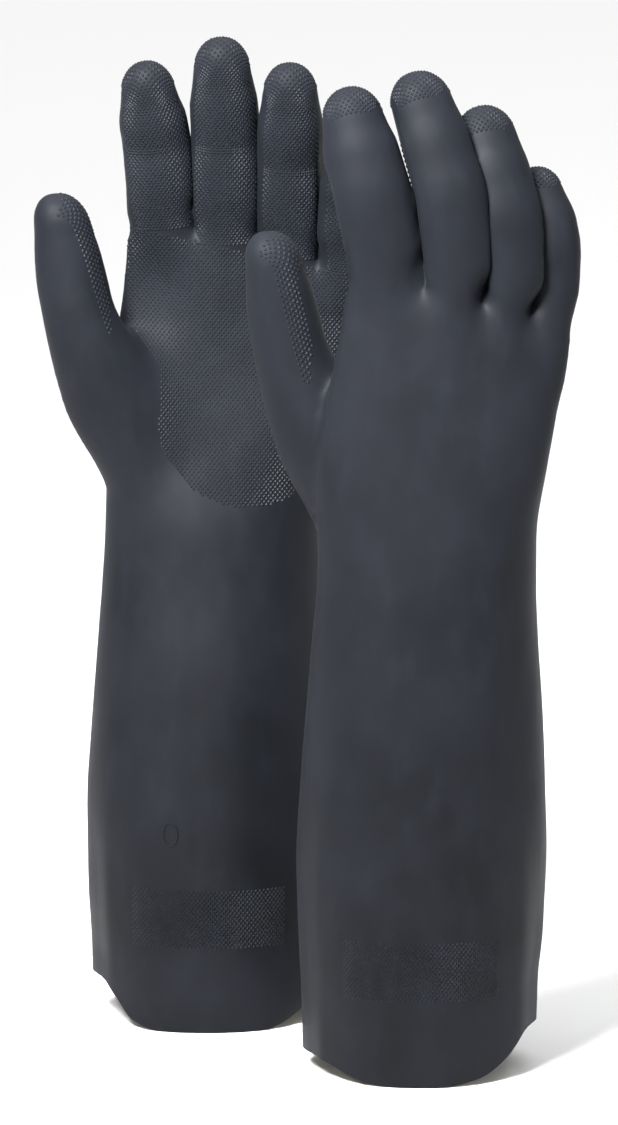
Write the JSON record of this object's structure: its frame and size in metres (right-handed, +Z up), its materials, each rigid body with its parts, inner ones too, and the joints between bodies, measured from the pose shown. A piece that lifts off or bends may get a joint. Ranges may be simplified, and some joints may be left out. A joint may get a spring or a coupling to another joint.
{
  "type": "electrical insulating gloves",
  "caption": "Pair of long dark rubber gauntlet gloves with fine diamond grip on palms and fingers, standing on their cuff hems, with stalls, thumbs and wrists that bend.",
  "frame": {"origin": "on the floor below the middle of the pair's outer box", "axes": "+Z up along the sleeves to the fingertips, +X towards the little fingers, -Y towards the right glove and the viewer"},
  "size_m": [0.2322, 0.1784, 0.4038],
  "materials": {
    "rubber_shell": "matt dipped black rubber with a slight blue-grey bloom",
    "flock_lining": "short undyed cotton flock"
  },
  "bodies": {
    "left_gauntlet": {"left_gauntlet_shell": "rubber_shell", "left_gauntlet_lining": "flock_lining"},
    "left_hand": {"left_hand_shell": "rubber_shell", "left_hand_lining": "flock_lining"},
    "left_thumb_base": {"left_thumb_base_shell": "rubber_shell", "left_thumb_base_lining": "flock_lining"},
    "left_thumb_tip": {"left_thumb_tip_shell": "rubber_shell", "left_thumb_tip_lining": "flock_lining"},
    "left_index_base": {"left_index_base_shell": "rubber_shell", "left_index_base_lining": "flock_lining"},
    "left_index_tip": {"left_index_tip_shell": "rubber_shell", "left_index_tip_lining": "flock_lining"},
    "left_middle_base": {"left_middle_base_shell": "rubber_shell", "left_middle_base_lining": "flock_lining"},
    "left_middle_tip": {"left_middle_tip_shell": "rubber_shell", "left_middle_tip_lining": "flock_lining"},
    "left_ring_base": {"left_ring_base_shell": "rubber_shell", "left_ring_base_lining": "flock_lining"},
    "left_ring_tip": {"left_ring_tip_shell": "rubber_shell", "left_ring_tip_lining": "flock_lining"},
    "left_little_base": {"left_little_base_shell": "rubber_shell", "left_little_base_lining": "flock_lining"},
    "left_little_tip": {"left_little_tip_shell": "rubber_shell", "left_little_tip_lining": "flock_lining"},
    "right_gauntlet": {"right_gauntlet_shell": "rubber_shell", "right_gauntlet_lining": "flock_lining"},
    "right_hand": {"right_hand_shell": "rubber_shell", "right_hand_lining": "flock_lining"},
    "right_thumb_base": {"right_thumb_base_shell": "rubber_shell", "right_thumb_base_lining": "flock_lining"},
    "right_thumb_tip": {"right_thumb_tip_shell": "rubber_shell", "right_thumb_tip_lining": "flock_lining"},
    "right_index_base": {"right_index_base_shell": "rubber_shell", "right_index_base_lining": "flock_lining"},
    "right_index_tip": {"right_index_tip_shell": "rubber_shell", "right_index_tip_lining": "flock_lining"},
    "right_middle_base": {"right_middle_base_shell": "rubber_shell", "right_middle_base_lining": "flock_lining"},
    "right_middle_tip": {"right_middle_tip_shell": "rubber_shell", "right_middle_tip_lining": "flock_lining"},
    "right_ring_base": {"right_ring_base_shell": "rubber_shell", "right_ring_base_lining": "flock_lining"},
    "right_ring_tip": {"right_ring_tip_shell": "rubber_shell", "right_ring_tip_lining": "flock_lining"},
    "right_little_base": {"right_little_base_shell": "rubber_shell", "right_little_base_lining": "flock_lining"},
    "right_little_tip": {"right_little_tip_shell": "rubber_shell", "right_little_tip_lining": "flock_lining"}
  },
  "joints": [
    {"name": "left_wrist_bend", "type": "hinge", "parent": "left_gauntlet", "child": "left_hand", "pos_m": [-0.0355, 0.0793, 0.203], "axis": [-1, 0, 0], "range_deg": [0, 35], "stiffness_Nm_per_rad": 0.6},
    {"name": "left_thumb_bend", "type": "hinge", "parent": "left_hand", "child": "left_thumb_base", "pos_m": [-0.09211, 0.0256, 0.28315], "axis": [0.9549, 0.191, 0.2273], "range_deg": [0, 30], "stiffness_Nm_per_rad": 0.05},
    {"name": "left_thumb_tip_bend", "type": "hinge", "parent": "left_thumb_base", "child": "left_thumb_tip", "pos_m": [-0.09838, 0.02556, 0.30968], "axis": [0.9636, 0.1927, 0.185], "range_deg": [0, 48], "stiffness_Nm_per_rad": 0.03},
    {"name": "left_index_bend", "type": "hinge", "parent": "left_hand", "child": "left_index_base", "pos_m": [-0.0582, 0.04886, 0.32746], "axis": [0.9976, 0, 0.0698], "range_deg": [0, 50], "stiffness_Nm_per_rad": 0.05},
    {"name": "left_index_tip_bend", "type": "hinge", "parent": "left_index_base", "child": "left_index_tip", "pos_m": [-0.06036, 0.04807, 0.35829], "axis": [0.9975, 0, 0.0701], "range_deg": [0, 60], "stiffness_Nm_per_rad": 0.03},
    {"name": "left_middle_bend", "type": "hinge", "parent": "left_hand", "child": "left_middle_base", "pos_m": [-0.0311, 0.04986, 0.32111], "axis": [1, 0, 0.0087], "range_deg": [0, 50], "stiffness_Nm_per_rad": 0.05},
    {"name": "left_middle_tip_bend", "type": "hinge", "parent": "left_middle_base", "child": "left_middle_tip", "pos_m": [-0.03142, 0.04777, 0.3584], "axis": [1, 0, 0.0088], "range_deg": [0, 60], "stiffness_Nm_per_rad": 0.03},
    {"name": "left_ring_bend", "type": "hinge", "parent": "left_hand", "child": "left_ring_base", "pos_m": [-0.00426, 0.0481, 0.31464], "axis": [0.9999, 0, -0.0123], "range_deg": [0, 50], "stiffness_Nm_per_rad": 0.05},
    {"name": "left_ring_tip_bend", "type": "hinge", "parent": "left_ring_base", "child": "left_ring_tip", "pos_m": [-0.00384, 0.04432, 0.34904], "axis": [0.9999, 0, -0.0124], "range_deg": [0, 60], "stiffness_Nm_per_rad": 0.03},
    {"name": "left_little_bend", "type": "hinge", "parent": "left_hand", "child": "left_little_base", "pos_m": [0.02004, 0.04599, 0.30897], "axis": [0.999, 0, -0.044], "range_deg": [0, 50], "stiffness_Nm_per_rad": 0.05},
    {"name": "left_little_tip_bend", "type": "hinge", "parent": "left_little_base", "child": "left_little_tip", "pos_m": [0.02113, 0.04187, 0.33369], "axis": [0.999, 0, -0.0447], "range_deg": [0, 60], "stiffness_Nm_per_rad": 0.03},
    {"name": "right_wrist_bend", "type": "hinge", "parent": "right_gauntlet", "child": "right_hand", "pos_m": [0.0505, -0.0793, 0.203], "axis": [1, 0, 0], "range_deg": [0, 35], "stiffness_Nm_per_rad": 0.6},
    {"name": "right_thumb_bend", "type": "hinge", "parent": "right_hand", "child": "right_thumb_base", "pos_m": [-0.00611, -0.0256, 0.28315], "axis": [-0.9549, 0.191, -0.2273], "range_deg": [0, 30], "stiffness_Nm_per_rad": 0.05},
    {"name": "right_thumb_tip_bend", "type": "hinge", "parent": "right_thumb_base", "child": "right_thumb_tip", "pos_m": [-0.01238, -0.02556, 0.30968], "axis": [-0.9636, 0.1927, -0.185], "range_deg": [0, 48], "stiffness_Nm_per_rad": 0.03},
    {"name": "right_index_bend", "type": "hinge", "parent": "right_hand", "child": "right_index_base", "pos_m": [0.0278, -0.04886, 0.32746], "axis": [-0.9934, 0, -0.1149], "range_deg": [0, 50], "stiffness_Nm_per_rad": 0.05},
    {"name": "right_index_tip_bend", "type": "hinge", "parent": "right_index_base", "child": "right_index_tip", "pos_m": [0.02425, -0.04807, 0.35816], "axis": [-0.9933, 0, -0.1155], "range_deg": [0, 60], "stiffness_Nm_per_rad": 0.03},
    {"name": "right_middle_bend", "type": "hinge", "parent": "right_hand", "child": "right_middle_base", "pos_m": [0.05494, -0.04986, 0.32111], "axis": [-0.994, 0, -0.1098], "range_deg": [0, 50], "stiffness_Nm_per_rad": 0.05},
    {"name": "right_middle_tip_bend", "type": "hinge", "parent": "right_middle_base", "child": "right_middle_tip", "pos_m": [0.05085, -0.04778, 0.35819], "axis": [-0.9939, 0, -0.1106], "range_deg": [0, 60], "stiffness_Nm_per_rad": 0.03},
    {"name": "right_ring_bend", "type": "hinge", "parent": "right_hand", "child": "right_ring_base", "pos_m": [0.08184, -0.0481, 0.31464], "axis": [-0.9957, 0, -0.0927], "range_deg": [0, 50], "stiffness_Nm_per_rad": 0.05},
    {"name": "right_ring_tip_bend", "type": "hinge", "parent": "right_ring_base", "child": "right_ring_tip", "pos_m": [0.07865, -0.04433, 0.3489], "axis": [-0.9956, 0, -0.0937], "range_deg": [0, 60], "stiffness_Nm_per_rad": 0.03},
    {"name": "right_little_bend", "type": "hinge", "parent": "right_hand", "child": "right_little_base", "pos_m": [0.10615, -0.04599, 0.30897], "axis": [-0.999, 0, -0.044], "range_deg": [0, 50], "stiffness_Nm_per_rad": 0.05},
    {"name": "right_little_tip_bend", "type": "hinge", "parent": "right_little_base", "child": "right_little_tip", "pos_m": [0.10506, -0.04187, 0.33369], "axis": [-0.999, 0, -0.0447], "range_deg": [0, 60], "stiffness_Nm_per_rad": 0.03},
    {"name": "right_glove_apart", "type": "slide", "parent": "left_gauntlet", "child": "right_gauntlet", "axis": [0, -1, 0], "range_m": [0, 0.25]}
  ],
  "couplings": [
    {"joint": "left_thumb_tip_bend", "follows": "left_thumb_bend", "ratio": 1.6},
    {"joint": "left_index_tip_bend", "follows": "left_index_bend", "ratio": 1.2},
    {"joint": "left_middle_tip_bend", "follows": "left_middle_bend", "ratio": 1.2},
    {"joint": "left_ring_tip_bend", "follows": "left_ring_bend", "ratio": 1.2},
    {"joint": "left_little_tip_bend", "follows": "left_little_bend", "ratio": 1.2},
    {"joint": "right_thumb_tip_bend", "follows": "right_thumb_bend", "ratio": 1.6},
    {"joint": "right_index_tip_bend", "follows": "right_index_bend", "ratio": 1.2},
    {"joint": "right_middle_tip_bend", "follows": "right_middle_bend", "ratio": 1.2},
    {"joint": "right_ring_tip_bend", "follows": "right_ring_bend", "ratio": 1.2},
    {"joint": "right_little_tip_bend", "follows": "right_little_bend", "ratio": 1.2}
  ]
}
